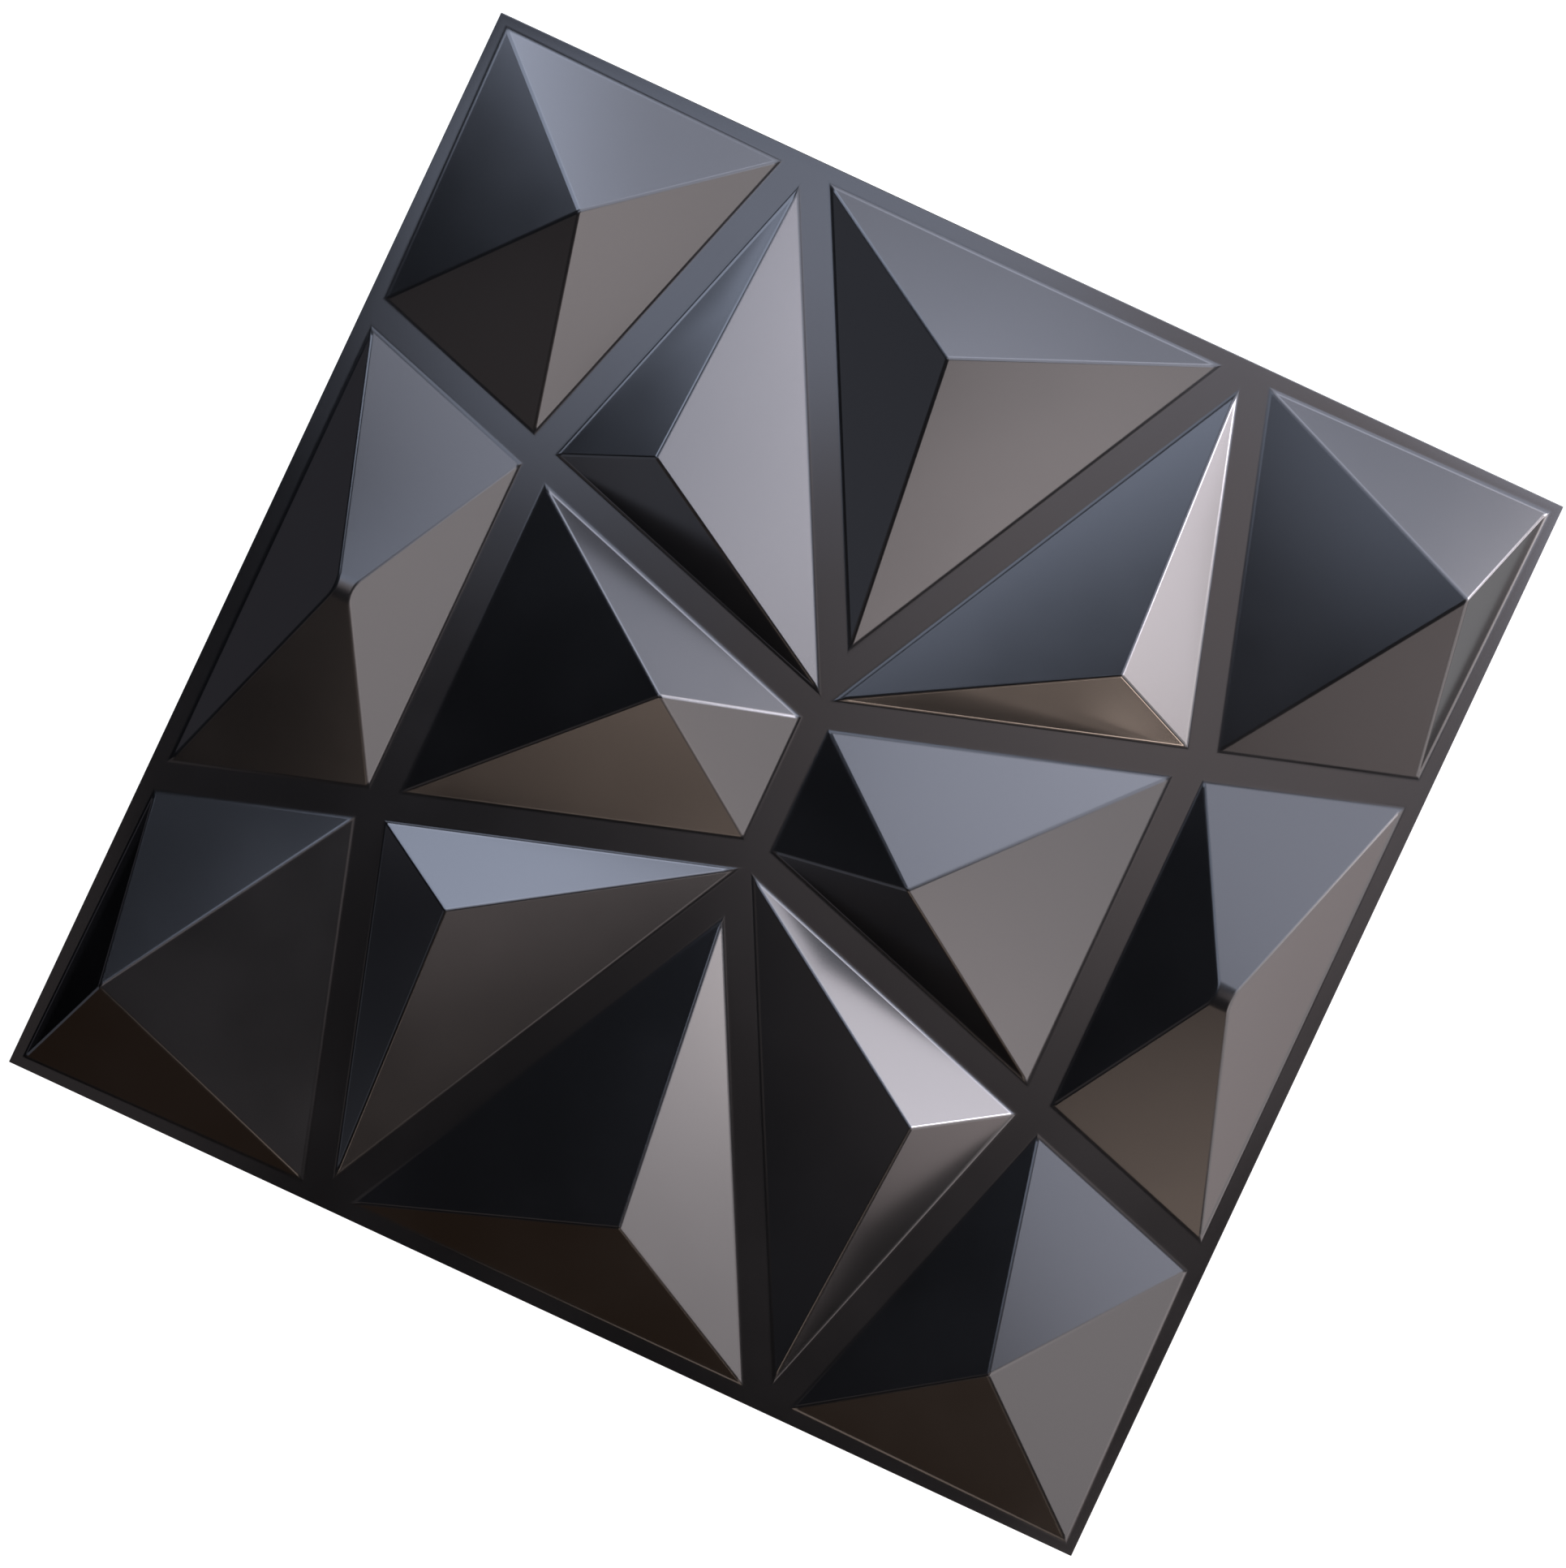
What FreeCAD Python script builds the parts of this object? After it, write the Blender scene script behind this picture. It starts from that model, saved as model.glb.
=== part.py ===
# Square wall tile moulded from one thin plastic sheet, lying face up.
# Flat ribs, level with the border, part fourteen off-centre pyramids that stand out of the face.
# The sheet follows its mould at one thickness, so the back is hollow under each pyramid.
# X runs along the tile's top edge, Y up the tile, Z out of its face.
# The origin is the middle of the back, in the plane that lies against the wall.

import FreeCAD, Part
import os

Vector = FreeCAD.Vector

# Sizes, in millimetres
tile_side = 300.0
sheet_thickness = 1.0
relief = 15.0           # depth of the hollow under each peak
rib_width = 9.0         # flat between two hollows, on the back
corner_border = 3.5     # flat between the tile's edge and a hollow, at the tile's corners
edge_border = 4.8       # the same, where a rib runs into the border
foot_radius = 1.0       # on the face, where a facet turns out of the flat
crest_length = 2.8      # the side facets end in a short crest, not a point
crest_radius = 10.0     # inside of that crest
tolerance = 0.001
root_share = 0.04       # how far a core goes on below the flat, as a share of its height

# Centre lines of the ribs in the upper left quarter, which repeat in the other three.
# Each is two points, as shares of the side from the tile's left and top edges.
rib_lines = {
    "fan": ((0.294, 0.0), (0.5, 0.401)),
    "wing": ((0.288, 0.0), (0.192, 0.3175)),
    "shoulder": ((0.0, 0.275), (0.5, 0.4325)),
    "side": ((0.192, 0.0), (0.192, 1.0)),
    "spine": ((0.5, 0.0), (0.5, 1.0)),
}

# Peaks of the first seven facets, in the same shares. The other seven are their half turn.
peaks = {
    "left corner": (0.131, 0.119),
    "left blade": (0.280, 0.284),
    "top": (0.469, 0.100),
    "right blade": (0.719, 0.285),
    "right corner": (0.959, 0.0995),
    "side": (0.085, 0.5),
    "kite": (0.369, 0.469),
}


def place(share, height=0.0):
    """A point of the tile from its shares of the side."""
    across, down = share
    return Vector((across - 0.5) * tile_side, (0.5 - down) * tile_side, height)


def line(start, end, half_width=0.0):
    """A centre line and how far the flat reaches on each side of it."""
    return {"start": start, "along": (end - start).normalize(), "half_width": half_width}


def mirrored(source):
    """The same line on the right half of the tile."""
    start, along = source["start"], source["along"]
    return dict(source, start=Vector(-start.x, start.y, 0), along=Vector(-along.x, along.y, 0))


def flipped(source):
    """The same line on the lower half of the tile."""
    start, along = source["start"], source["along"]
    return dict(source, start=Vector(start.x, -start.y, 0), along=Vector(along.x, -along.y, 0))


def near_edge(source, peak):
    """The line moved to the edge of its flat that faces the peak."""
    start, along = source["start"], source["along"]
    across = Vector(-along.y, along.x, 0)
    if across.dot(peak - start) < 0:
        across = -across
    return start + across * source["half_width"], along


def crossing(first, second):
    """Where two lines of the plan meet."""
    (p, d), (q, e) = first, second
    gap = q - p
    return p + d * ((gap.x * e.y - gap.y * e.x) / (d.x * e.y - d.y * e.x))


def face(*points):
    return Part.Face(Part.makePolygon(list(points) + [points[0]]))


def pattern():
    """The plan corners of the first seven facets, in order round each one."""
    half = tile_side / 2
    fan, wing, shoulder, side, spine = (
        line(place(start), place(end), rib_width / 2) for start, end in rib_lines.values())
    corner = Vector(corner_border - half, half - corner_border, 0)
    top_level = Vector(wing["start"].x, half - edge_border, 0)
    left_level = Vector(edge_border - half, shoulder["start"].y, 0)
    corner_top = line(corner, top_level)
    corner_side = line(corner, left_level)
    top = line(top_level, top_level + Vector(half, 0, 0))
    left = line(left_level, left_level - Vector(0, half, 0))
    bounds = {
        "left corner": [corner_side, corner_top, wing, shoulder],
        "left blade": [wing, fan, shoulder],
        "top": [fan, top, mirrored(fan)],
        "right blade": [mirrored(fan), mirrored(wing), mirrored(shoulder)],
        "right corner": [mirrored(wing), mirrored(corner_top), mirrored(corner_side), mirrored(shoulder)],
        "side": [shoulder, side, flipped(shoulder), left],
        "kite": [side, shoulder, spine, flipped(shoulder)],
    }
    corners = {}
    for name, lines in bounds.items():
        edges = [near_edge(bound, place(peaks[name])) for bound in lines]
        corners[name] = [crossing(edges[i - 1], edges[i]) for i in range(len(edges))]
    return corners


def rooted(corner, peak):
    """A facet's corner moved on down its ridge, to below the flat."""
    return corner + (corner - peak) * root_share


def pyramid(corners, peak):
    """A sharp pyramid over a facet's corners."""
    feet = [rooted(corner, peak) for corner in corners]
    sides = [face(feet[i - 1], feet[i], peak) for i in range(len(feet))]
    return Part.makeSolid(Part.makeShell([face(*feet)] + sides))


def crested(corners, peak):
    """A four-sided pyramid whose peak is drawn out into a short rounded crest."""
    upper_left, upper_right, lower_right, lower_left = corners
    upper = (upper_right - upper_left).cross(peak - upper_left)
    lower = (lower_left - lower_right).cross(peak - lower_right)
    reach = upper.cross(lower).normalize() * (crest_length / 2)
    left_end, right_end = peak - reach, peak + reach
    upper_left, lower_left = rooted(upper_left, left_end), rooted(lower_left, left_end)
    upper_right, lower_right = rooted(upper_right, right_end), rooted(lower_right, right_end)
    solid = Part.makeSolid(Part.makeShell([
        face(upper_left, upper_right, lower_right, lower_left),
        face(upper_left, upper_right, right_end, left_end),
        face(upper_right, lower_right, right_end),
        face(lower_right, lower_left, left_end, right_end),
        face(lower_left, upper_left, left_end),
    ]))
    crest = [edge for edge in solid.Edges if edge.BoundBox.ZMin > relief / 2]
    return solid.makeFillet(crest_radius, crest)


def mould_cores():
    """The sharp solids over which the sheet is drawn, rooted in a flat board."""
    cores = []
    for name, corners in pattern().items():
        peak = place(peaks[name], relief)
        core = crested(corners, peak) if name == "side" else pyramid(corners, peak)
        cores += [core, core.rotated(Vector(), Vector(0, 0, 1), 180)]
    return cores


def behind(skin, cores):
    """The mould grown by a skin, which rounds each ridge by its own thickness."""
    depth = relief / 2
    corner = Vector(-tile_side / 2, -tile_side / 2, -depth)
    board = Part.makeBox(tile_side, tile_side, depth + skin, corner)
    if skin:
        cores = [core.makeOffsetShape(skin, tolerance, join=0) for core in cores]
    body = board.multiFuse(cores).removeSplitter()
    rim = tile_side / 2 - tolerance
    feet = []
    for edge in body.Edges:
        box = edge.BoundBox
        level = abs(box.ZMin - skin) < tolerance and abs(box.ZMax - skin) < tolerance
        if level and max(-box.XMin, box.XMax, -box.YMin, box.YMax) < rim:
            feet.append(edge)
    return body.makeFillet(foot_radius + sheet_thickness - skin, feet)


cores = mould_cores()
tile = behind(sheet_thickness, cores).cut(behind(0.0, cores))
os.makedirs("parts", exist_ok=True)
tile.exportStep("parts/wall_panel_tile.step")
print("valid", tile.isValid(), "solids", len(tile.Solids), "faces", len(tile.Faces))
print("volume mm3", round(tile.Volume, 1), "box", tile.BoundBox)
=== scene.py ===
# Dresses the moulded wall tile: one thin black sheet, its ridges and feet rounded as drawn plastic is.
import math

import bmesh
import bpy
from mathutils import Matrix, Vector


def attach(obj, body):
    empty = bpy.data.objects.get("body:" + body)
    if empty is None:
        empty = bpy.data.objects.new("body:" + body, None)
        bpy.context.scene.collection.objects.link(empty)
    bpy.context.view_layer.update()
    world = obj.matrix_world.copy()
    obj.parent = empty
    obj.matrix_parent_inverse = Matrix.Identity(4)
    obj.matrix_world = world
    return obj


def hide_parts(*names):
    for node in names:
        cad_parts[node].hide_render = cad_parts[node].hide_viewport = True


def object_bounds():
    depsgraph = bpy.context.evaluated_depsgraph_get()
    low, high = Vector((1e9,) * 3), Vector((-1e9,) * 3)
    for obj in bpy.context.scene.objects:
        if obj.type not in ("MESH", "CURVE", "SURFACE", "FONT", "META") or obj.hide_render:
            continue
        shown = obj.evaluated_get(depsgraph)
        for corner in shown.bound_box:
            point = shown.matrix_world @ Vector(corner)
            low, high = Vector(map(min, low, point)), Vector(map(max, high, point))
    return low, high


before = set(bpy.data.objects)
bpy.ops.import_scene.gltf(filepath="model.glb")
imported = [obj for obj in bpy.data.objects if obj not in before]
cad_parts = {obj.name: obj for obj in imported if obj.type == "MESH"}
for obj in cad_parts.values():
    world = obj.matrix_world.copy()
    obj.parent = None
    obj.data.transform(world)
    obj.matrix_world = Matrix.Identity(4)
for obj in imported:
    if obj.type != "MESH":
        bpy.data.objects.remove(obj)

cadLow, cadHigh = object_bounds()
print("stage: frame loaded")

# The tile. Lengths are in metres; plan points are shares of its side from the left and top edges.
tile = {
    "node": "wall_panel_tile",
    "slot": "black_plastic",
    "side": round(cadHigh[0] - cadLow[0], 4),
    "crestLength": 0.0028,
    "ribLines": {
        "fan": ((0.294, 0.0), (0.5, 0.401)),
        "wing": ((0.288, 0.0), (0.192, 0.3175)),
        "shoulder": ((0.0, 0.275), (0.5, 0.4325)),
        "side": ((0.192, 0.0), (0.192, 1.0)),
        "spine": ((0.5, 0.0), (0.5, 1.0)),
    },
    "peaks": {
        "leftCorner": (0.131, 0.119),
        "leftBlade": (0.280, 0.284),
        "top": (0.469, 0.100),
        "rightBlade": (0.719, 0.285),
        "rightCorner": (0.959, 0.0995),
        "side": (0.085, 0.5),
        "kite": (0.369, 0.469),
    },
    "webWidth": 0.0064,         # flat down the middle of a rib, kept out of the rounding
    "creaseTurn": math.radians(8),
    "tolerance": 1e-6,
    "backFinish": 1,            # places in the list of finishes; the face comes first
    "edgeFinish": 2,
}

# The sheet's two surfaces: where each lies and how softly it bends
faceSkin = {
    "level": 0.001,
    "ribFlat": 0.0084,
    "cornerBorder": 0.0031,
    "edgeBorder": 0.0045,
    "height": 0.01510,
    "ridge": {"offset": 0.00060, "segments": 4},
    "foot": {"offset": 0.00060, "segments": 4},
    "crest": {"offset": 0.0036, "segments": 10},
}
backSkin = {
    "level": 0.0,
    "ribFlat": 0.0090,
    "cornerBorder": 0.0035,
    "edgeBorder": 0.0048,
    "height": 0.0150,
    "ridge": {"offset": 0.00012, "segments": 2},
    "foot": {"offset": 0.00070, "segments": 3},
    "crest": {"offset": 0.0033, "segments": 10},
}
rim = {"offset": 0.00012, "segments": 2}


def place(share, height=0.0):
    across, down = share
    return Vector(((across - 0.5) * tile["side"], (0.5 - down) * tile["side"], height))


def mirrored(points):
    return [Vector((-p.x, p.y, 0.0)) for p in points]


def flipped(points):
    return [Vector((p.x, -p.y, 0.0)) for p in points]


def planLines(skin):
    # which lines bound each facet, in order round it, and how far its foot keeps from them
    half = tile["side"] / 2
    fan, wing, shoulder, side, spine = ([place(p) for p in line] for line in tile["ribLines"].values())
    corner = Vector((skin["cornerBorder"] - half, half - skin["cornerBorder"], 0.0))
    topLevel = Vector((wing[0].x, half - skin["edgeBorder"], 0.0))
    leftLevel = Vector((skin["edgeBorder"] - half, shoulder[0].y, 0.0))
    cornerTop, cornerSide = [corner, topLevel], [corner, leftLevel]
    top = [topLevel, topLevel + Vector((half, 0.0, 0.0))]
    left = [leftLevel, leftLevel - Vector((0.0, half, 0.0))]
    bounds = {
        "leftCorner": [cornerSide, cornerTop, wing, shoulder],
        "leftBlade": [wing, fan, shoulder],
        "top": [fan, top, mirrored(fan)],
        "rightBlade": [mirrored(fan), mirrored(wing), mirrored(shoulder)],
        "rightCorner": [mirrored(wing), mirrored(cornerTop), mirrored(cornerSide), mirrored(shoulder)],
        "side": [shoulder, side, flipped(shoulder), left],
        "kite": [side, shoulder, spine, flipped(shoulder)],
    }
    ribs = [fan, wing, shoulder, side, spine]
    ribs += [mirrored(line) for line in ribs] + [flipped(line) for line in ribs]
    keep = skin["ribFlat"] / 2
    return {name: [(line, keep if line in ribs else 0.0) for line in lines]
            for name, lines in bounds.items()}


def nearEdge(line, keep, peak):
    # the line moved towards the peak, and the level direction that points away from the peak
    along = (line[1] - line[0]).normalized()
    outward = Vector((along.y, -along.x, 0.0))
    if outward.dot(peak - line[0]) > 0:
        outward.negate()
    return line[0] - outward * keep, outward


def crestEnds(bounds, peak):
    # the upper and lower slopes of a side facet meet in a short crest
    slopes = []
    for line, keep in (bounds[0], bounds[2]):
        point, outward = nearEdge(line, keep, peak)
        along = Vector((-outward.y, outward.x, 0.0))
        slopes.append(along.cross(peak - point))
    reach = slopes[0].cross(slopes[1]).normalized() * (tile["crestLength"] / 2)
    return peak - reach, peak + reach


def sharpEdges(bm, convex=None):
    found = []
    for edge in bm.edges:
        if len(edge.link_faces) == 2 and edge.calc_face_angle() > tile["creaseTurn"]:
            if convex is None or edge.is_convex == convex:
                found.append(edge)
    return found


def roundEdges(bm, edges, settings):
    bmesh.ops.bevel(bm, geom=edges, offset=settings["offset"], offset_type="OFFSET",
                    segments=settings["segments"], profile=0.5, affect="EDGES",
                    clamp_overlap=False, material=-1)


def pour(source, target):
    # moves all the faces of one mesh into another
    mesh = bpy.data.meshes.new("poured")
    source.to_mesh(mesh)
    source.free()
    target.from_mesh(mesh)
    bpy.data.meshes.remove(mesh)


def addObject(name, data):
    item = bpy.data.objects.new(name, data)
    bpy.context.scene.collection.objects.link(item)
    return item


def facet(name, bounds, skin):
    # one pyramid with a flat collar, cut from a sheet along the ribs and drawn up to its peak
    bm = bmesh.new()
    bmesh.ops.create_grid(bm, x_segments=1, y_segments=1, size=tile["side"] / 2)
    collar = (skin["ribFlat"] - tile["webWidth"]) / 2
    peak = place(tile["peaks"][name])
    for line, keep in bounds:
        point, outward = nearEdge(line, keep - collar, peak)
        bmesh.ops.bisect_plane(bm, geom=bm.verts[:] + bm.edges[:] + bm.faces[:], plane_co=point,
                               plane_no=outward, clear_outer=True)
    foot = bm.faces[:]
    bmesh.ops.inset_individual(bm, faces=foot, thickness=collar, use_even_offset=True)
    crown = bmesh.ops.extrude_discrete_faces(bm, faces=foot)["faces"][0]
    peak.z = skin["height"]
    if name == "side":
        leftEnd, rightEnd = crestEnds(bounds, peak)
        middle = crown.calc_center_median().x
        ends = [(leftEnd, [v for v in crown.verts if v.co.x < middle]),
                (rightEnd, [v for v in crown.verts if v.co.x >= middle])]
    else:
        ends = [(peak, crown.verts[:])]
    for end, verts in ends:
        bmesh.ops.pointmerge(bm, verts=verts, merge_co=end)
    if name == "side":
        crest = [e for e in bm.edges if min(v.co.z for v in e.verts) > skin["height"] / 2]
        roundEdges(bm, crest, skin["crest"])
    return bm


def surface(skin):
    # seven facets, their half turn, and the flat that joins them
    bm = bmesh.new()
    for name, bounds in planLines(skin).items():
        one = facet(name, bounds, skin)
        if skin["ridge"] == skin["foot"]:
            roundEdges(one, sharpEdges(one), skin["ridge"])
        else:
            roundEdges(one, sharpEdges(one, convex=False), skin["foot"])
            roundEdges(one, sharpEdges(one, convex=True), skin["ridge"])
        pour(one, bm)
    copy = bmesh.ops.duplicate(bm, geom=bm.verts[:] + bm.edges[:] + bm.faces[:])["geom"]
    turned = [item for item in copy if isinstance(item, bmesh.types.BMVert)]
    bmesh.ops.rotate(bm, verts=turned, cent=(0, 0, 0), matrix=Matrix.Rotation(math.pi, 3, "Z"))
    square = bmesh.ops.create_grid(bm, x_segments=1, y_segments=1, size=tile["side"] / 2)["verts"]
    bmesh.ops.delete(bm, geom=square[0].link_faces[:], context="FACES_ONLY")
    openEdges = [e for e in bm.edges if len(e.link_faces) < 2]
    bmesh.ops.triangle_fill(bm, edges=openEdges, use_beauty=True, use_dissolve=False, normal=(0, 0, 1))
    bmesh.ops.translate(bm, verts=bm.verts[:], vec=(0, 0, skin["level"]))
    return bm


def isRim(edge):
    return all(max(abs(v.co.x), abs(v.co.y)) > tile["side"] / 2 - tile["tolerance"] for v in edge.verts)


def makeTile():
    bm = surface(backSkin)
    bmesh.ops.reverse_faces(bm, faces=bm.faces[:])
    for polygon in bm.faces:
        polygon.material_index = tile["backFinish"]
    pour(surface(faceSkin), bm)
    cut = bmesh.ops.bridge_loops(bm, edges=[e for e in bm.edges if len(e.link_faces) == 1])["faces"]
    for polygon in cut:
        polygon.material_index = tile["edgeFinish"]
    bmesh.ops.recalc_face_normals(bm, faces=bm.faces[:])
    cutEdges = [e for e in bm.edges if isRim(e) and e.calc_face_angle() > tile["creaseTurn"]]
    roundEdges(bm, cutEdges, rim)
    mesh = bpy.data.meshes.new(tile["node"] + "_skin")
    bm.to_mesh(mesh)
    openCount = len([e for e in bm.edges if len(e.link_faces) != 2])
    print("stage: tile moulded,", len(bm.faces), "faces,", openCount, "open edges")
    bm.free()
    mesh.polygons.foreach_set("use_smooth", [True] * len(mesh.polygons))
    sheet = addObject("moulded_sheet", mesh)
    weighted = sheet.modifiers.new("even shading", "WEIGHTED_NORMAL")
    weighted.weight = 100
    weighted.keep_sharp = True
    return sheet


# Shared effects: node groups whose sizes and depths are in metres. The details are octaves of noise.
effectLook = {
    "grainDetail": 2.0,
    "waveDetail": 0.0,
    "hazeDetail": 3.0,
    "hazeFrom": 0.35,
    "hazeTo": 0.68,
    "streakDetail": 2.0,
    "streakStretch": (1.0, 1.0, 0.06),
}


def newGroup(name, given, made):
    group = bpy.data.node_groups.new(name, "ShaderNodeTree")
    for title in given:
        group.interface.new_socket(title, in_out="INPUT", socket_type="NodeSocketFloat")
    for title in made:
        group.interface.new_socket(title, in_out="OUTPUT", socket_type="NodeSocketFloat")
    return group, group.nodes.new("NodeGroupInput").outputs, group.nodes.new("NodeGroupOutput").inputs


def maths(group, operation, *values):
    node = group.nodes.new("ShaderNodeMath")
    node.operation = operation
    for socket, value in zip(node.inputs, values):
        if isinstance(value, bpy.types.NodeSocket):
            group.links.new(value, socket)
        else:
            socket.default_value = value
    return node.outputs["Value"]


def patches(group, size, detail, stretch=(1.0, 1.0, 1.0)):
    # soft random patches, by the tile's own coordinates
    mapping = group.nodes.new("ShaderNodeMapping")
    mapping.inputs["Scale"].default_value = stretch
    group.links.new(group.nodes.new("ShaderNodeTexCoord").outputs["Object"], mapping.inputs["Vector"])
    noise = group.nodes.new("ShaderNodeTexNoise")
    noise.inputs["Detail"].default_value = detail
    group.links.new(mapping.outputs["Vector"], noise.inputs["Vector"])
    group.links.new(maths(group, "DIVIDE", 1.0, size), noise.inputs["Scale"])
    return noise.outputs["Fac"]


def makeReliefGroup():
    # the fine grain of matt plastic, on the slow waves of a drawn sheet
    group, given, made = newGroup("sheet relief", ["Grain Size", "Grain Depth", "Wave Size", "Wave Depth"],
                                  ["Height"])
    grain = patches(group, given["Grain Size"], effectLook["grainDetail"])
    wave = patches(group, given["Wave Size"], effectLook["waveDetail"])
    grain = maths(group, "MULTIPLY", grain, given["Grain Depth"])
    wave = maths(group, "MULTIPLY", wave, given["Wave Depth"])
    group.links.new(maths(group, "ADD", grain, wave), made["Height"])
    return group


def makeHazeGroup():
    # where the gloss is a little duller, in broad patches with finer ones inside
    group, given, made = newGroup("gloss haze", ["Patch Size"], ["Mask"])
    spread = group.nodes.new("ShaderNodeMapRange")
    spread.interpolation_type = "SMOOTHSTEP"
    spread.inputs["From Min"].default_value = effectLook["hazeFrom"]
    spread.inputs["From Max"].default_value = effectLook["hazeTo"]
    haze = patches(group, given["Patch Size"], effectLook["hazeDetail"])
    group.links.new(haze, spread.inputs["Value"])
    group.links.new(spread.outputs["Result"], made["Mask"])
    return group


def makeStreakGroup():
    # the scratches of a trimming blade, across the sheet's thickness
    group, given, made = newGroup("blade streaks", ["Streak Size", "Streak Depth"], ["Mask", "Height"])
    streaks = patches(group, given["Streak Size"], effectLook["streakDetail"], effectLook["streakStretch"])
    group.links.new(streaks, made["Mask"])
    group.links.new(maths(group, "MULTIPLY", streaks, given["Streak Depth"]), made["Height"])
    return group


effects = {"relief": makeReliefGroup(), "haze": makeHazeGroup(), "streaks": makeStreakGroup()}

# Finishes of the sheet. Each tone and roughness runs from the first value to the second by the mask.
plasticIor = 1.5
finishes = {
    "face": {
        "tones": ((0.0009, 0.0009, 0.0009, 1.0), (0.0013, 0.0013, 0.0013, 1.0)),
        "roughness": (0.204, 0.224),
        "mask": ("haze", {"Patch Size": 0.045}),
        "height": ("relief", {"Grain Size": 0.00045, "Grain Depth": 0.0000015,
                              "Wave Size": 0.060, "Wave Depth": 0.000120}),
    },
    "back": {
        "tones": ((0.0035, 0.0035, 0.0040, 1.0), (0.0065, 0.0065, 0.0070, 1.0)),
        "roughness": (0.40, 0.52),
        "mask": ("haze", {"Patch Size": 0.030}),
        "height": ("relief", {"Grain Size": 0.00080, "Grain Depth": 0.0000120,
                              "Wave Size": 0.050, "Wave Depth": 0.000150}),
    },
    "cut edge": {
        "tones": ((0.0030, 0.0030, 0.0034, 1.0), (0.0090, 0.0090, 0.0095, 1.0)),
        "roughness": (0.34, 0.60),
        "mask": ("streaks", {"Streak Size": 0.00030, "Streak Depth": 0.000010}),
        "height": ("streaks", {"Streak Size": 0.00030, "Streak Depth": 0.000010}),
    },
}


def useEffect(tree, effect, settings):
    node = tree.nodes.new("ShaderNodeGroup")
    node.node_tree = effects[effect]
    for title, value in settings.items():
        node.inputs[title].default_value = value
    return node


def makeFinish(name, look):
    material = bpy.data.materials.new("black plastic " + name)
    material.use_nodes = True
    tree = material.node_tree
    shader = tree.nodes["Principled BSDF"]
    shader.inputs["IOR"].default_value = plasticIor
    mask = useEffect(tree, *look["mask"]).outputs["Mask"]
    tone = tree.nodes.new("ShaderNodeValToRGB")
    for stop, colour in zip(tone.color_ramp.elements, look["tones"]):
        stop.color = colour
    tree.links.new(mask, tone.inputs["Fac"])
    tree.links.new(tone.outputs["Color"], shader.inputs["Base Color"])
    gloss = tree.nodes.new("ShaderNodeMapRange")
    gloss.inputs["To Min"].default_value, gloss.inputs["To Max"].default_value = look["roughness"]
    tree.links.new(mask, gloss.inputs["Value"])
    tree.links.new(gloss.outputs["Result"], shader.inputs["Roughness"])
    bump = tree.nodes.new("ShaderNodeBump")
    bump.inputs["Distance"].default_value = 1.0
    tree.links.new(useEffect(tree, *look["height"]).outputs["Height"], bump.inputs["Height"])
    tree.links.new(bump.outputs["Normal"], shader.inputs["Normal"])
    return material


sheet = makeTile()
for name, look in finishes.items():
    sheet.data.materials.append(makeFinish(name, look))
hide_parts(tile["node"])
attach(sheet, "root")
print("stage: tile finished,", len(sheet.data.materials), "finishes")

# Floor: one level plane in two halves, of which only the right one shows in the tile's gloss
floorLook = {
    "halfSide": 3.0,
    "colour": (0.05, 0.05, 0.05, 1.0),
    "glowColour": (1.0, 1.0, 1.0, 1.0),
    "glow": 1.08,
    "roughness": 0.9,
    "specular": 0.0,
}
floorParts = {
    "floor_right": {"middle": floorLook["halfSide"], "inGloss": True},
    "floor_left": {"middle": -floorLook["halfSide"], "inGloss": False},
}


def makeFloor():
    material = bpy.data.materials.new("pale floor")
    material.use_nodes = True
    shader = material.node_tree.nodes["Principled BSDF"]
    shader.inputs["Base Color"].default_value = floorLook["colour"]
    shader.inputs["Roughness"].default_value = floorLook["roughness"]
    shader.inputs["Specular IOR Level"].default_value = floorLook["specular"]
    shader.inputs["Emission Color"].default_value = floorLook["glowColour"]
    shader.inputs["Emission Strength"].default_value = floorLook["glow"]
    for name, part in floorParts.items():
        bm = bmesh.new()
        bmesh.ops.create_grid(bm, x_segments=1, y_segments=1, size=floorLook["halfSide"],
                              matrix=Matrix.Translation((part["middle"], 0.0, 0.0)))
        mesh = bpy.data.meshes.new(name)
        bm.to_mesh(mesh)
        bm.free()
        mesh.materials.append(material)
        floor = addObject(name, mesh)
        floor.visible_glossy = part["inGloss"]


makeFloor()

# Camera: looks down on the tile, a little from its top edge, with no perspective
view = {
    "tiltBack": math.radians(8.69),
    "tiltAside": math.radians(1.26),
    "turn": math.radians(-24.95),
    "frameHeight": 0.4013,
    "distance": 1.5,
    "aside": -0.00084,
}


def makeCamera():
    turned = (Matrix.Rotation(view["turn"], 3, "Z") @ Matrix.Rotation(view["tiltAside"], 3, "Y")
              @ Matrix.Rotation(view["tiltBack"], 3, "X")).transposed()
    data = bpy.data.cameras.new("camera")
    data.type = "ORTHO"
    data.ortho_scale = view["frameHeight"]
    camera = addObject("camera", data)
    station = turned @ Vector((view["aside"], 0.0, view["distance"]))
    camera.matrix_world = Matrix.Translation(station) @ turned.to_4x4()
    bpy.context.scene.camera = camera


makeCamera()

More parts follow.
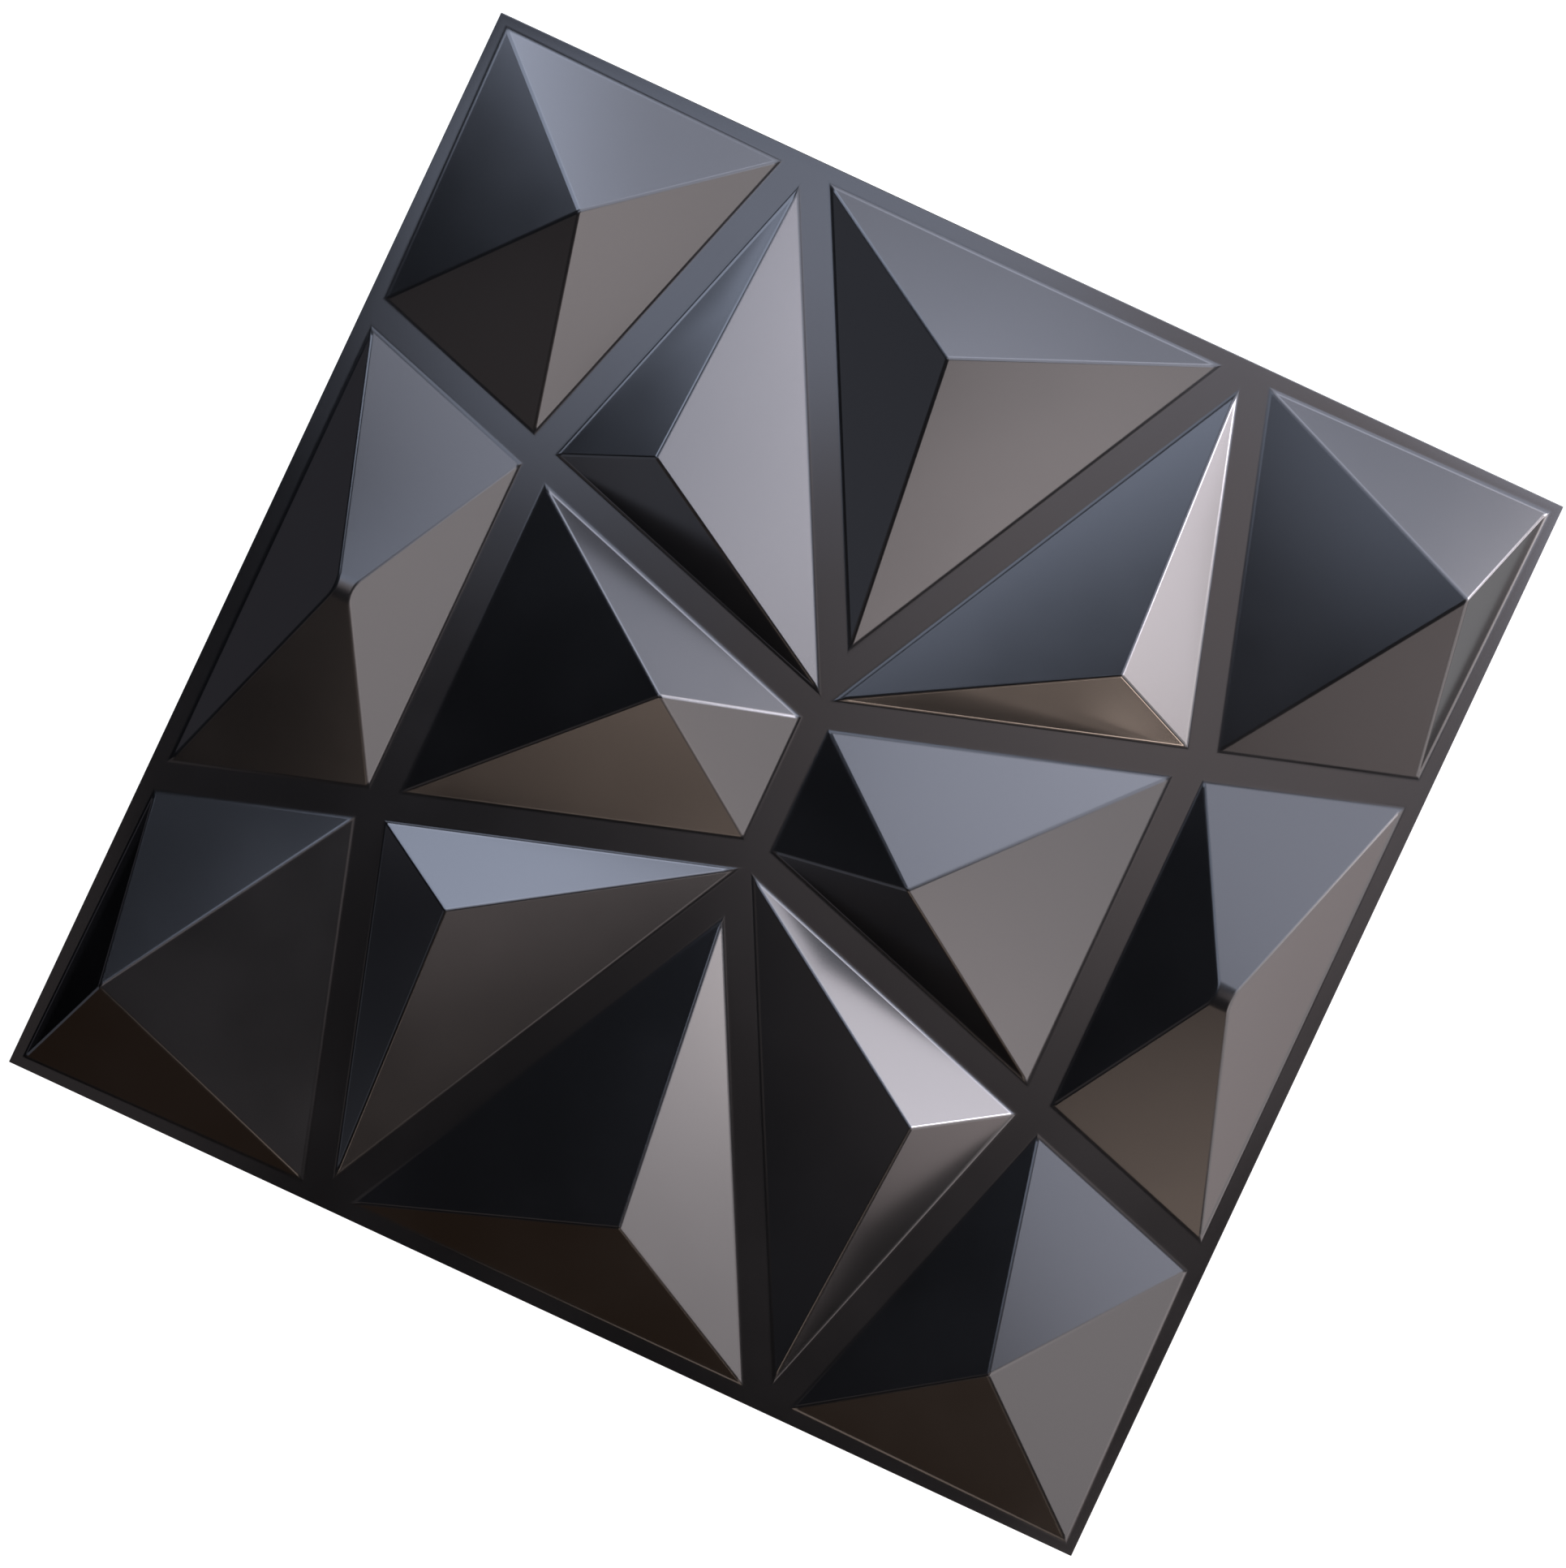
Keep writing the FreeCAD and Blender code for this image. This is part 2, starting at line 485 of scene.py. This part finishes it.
# Lights: soft panels that face the tile, placed by the azimuth from +X and the elevation in degrees.
# The fills cast no shadows, so they reach down to the feet of the facets.
tints = {
    "brown": (1.00, 0.40, 0.05),
    "warm": (1.00, 0.78, 0.66),
    "rose": (1.00, 0.86, 0.86),
    "pale": (1.00, 0.92, 0.94),
    "violet": (0.88, 0.84, 1.00),
    "cool": (0.78, 0.82, 1.00),
    "blue": (0.68, 0.77, 1.00),
}
lights = {
    "warmLow": {"azimuth": 298, "elevation": 19, "distance": 1.50, "size": (0.55, 0.60),
                "glow": 19.0, "tint": "warm"},
    "brownLow": {"azimuth": 270, "elevation": 24, "distance": 1.20, "size": (0.90, 0.50),
                 "glow": 0.12, "tint": "brown"},
    "ridgeSpark": {"azimuth": 36, "elevation": 30, "distance": 0.40, "size": (0.12, 0.12),
                   "glow": 60.0, "tint": "violet"},
    "rightFar": {"azimuth": 21, "elevation": 10, "distance": 1.60, "size": (0.45, 0.25),
                 "glow": 17.5, "tint": "violet"},
    "rightNear": {"azimuth": 38, "elevation": 22, "distance": 0.45, "size": (0.47, 0.35),
                  "glow": 9.0, "tint": "pale", "fill": True},
    "rightSoft": {"azimuth": 0, "elevation": 35, "distance": 0.50, "size": (0.48, 0.40),
                  "glow": 3.75, "tint": "pale"},
    "rightFloor": {"azimuth": 350, "elevation": 8, "distance": 0.75, "size": (0.50, 0.20),
                   "glow": 4.0, "tint": "rose"},
    "rightHigh": {"azimuth": 325, "elevation": 50, "distance": 0.50, "size": (0.25, 0.12),
                  "glow": 2.3, "tint": "rose"},
    "bottomHigh": {"azimuth": 284, "elevation": 44, "distance": 0.55, "size": (0.14, 0.12),
                   "glow": 3.4, "tint": "warm"},
    "topHigh": {"azimuth": 60, "elevation": 52, "distance": 0.43, "size": (0.45, 0.28),
                "glow": 5.5, "tint": "cool"},
    "topBroad": {"azimuth": 84, "elevation": 27, "distance": 0.85, "size": (0.85, 0.90),
                 "glow": 4.4, "tint": "cool", "fill": True},
    "leftCool": {"azimuth": 137, "elevation": 31, "distance": 0.40, "size": (0.35, 0.30),
                 "glow": 7.5, "tint": "blue"},
    "leftHigh": {"azimuth": 232, "elevation": 52, "distance": 0.40, "size": (0.12, 0.12),
                 "glow": 0.5, "tint": "rose"},
    "leftBroad": {"azimuth": 233, "elevation": 19, "distance": 1.40, "size": (1.20, 0.95),
                  "glow": 0.9, "tint": "cool"},
    "leftFloor": {"azimuth": 188, "elevation": 9, "distance": 0.40, "size": (0.28, 0.12),
                  "glow": 0.4, "tint": "violet"},
    "overCool": {"azimuth": 128, "elevation": 76, "distance": 0.40, "size": (0.18, 0.12),
                 "glow": 4.6, "tint": "blue"},
    "overWarm": {"azimuth": 345, "elevation": 83, "distance": 0.95, "size": (0.25, 0.20),
                 "glow": 2.5, "tint": "rose"},
}


def makeLight(name, spec):
    data = bpy.data.lights.new(name, "AREA")
    data.shape = "RECTANGLE"
    data.size, data.size_y = spec["size"]
    data.energy = spec["glow"] * math.pi * data.size * data.size_y
    data.color = tints[spec["tint"]]
    data.use_shadow = not spec.get("fill", False)
    lamp = addObject(name, data)
    azimuth, elevation = math.radians(spec["azimuth"]), math.radians(spec["elevation"])
    away = Vector((math.cos(azimuth) * math.cos(elevation), math.sin(azimuth) * math.cos(elevation),
                   math.sin(elevation)))
    lamp.matrix_world = (Matrix.Translation(away * spec["distance"])
                         @ away.to_track_quat("Z", "Y").to_matrix().to_4x4())
    lamp.visible_camera = False


for name, spec in lights.items():
    makeLight(name, spec)
print("stage: floor, camera and", len(lights), "lights set")

# A pale backdrop that only the camera sees
backdropColour = (1.0, 1.0, 1.0, 1.0)
world = bpy.data.worlds.new("world")
world.use_nodes = True
world.node_tree.nodes["Background"].inputs["Color"].default_value = backdropColour
for rays in ("diffuse", "glossy", "transmission", "scatter"):
    setattr(world.cycles_visibility, rays, False)
bpy.context.scene.world = world
bpy.context.scene.view_settings.view_transform = "Standard"
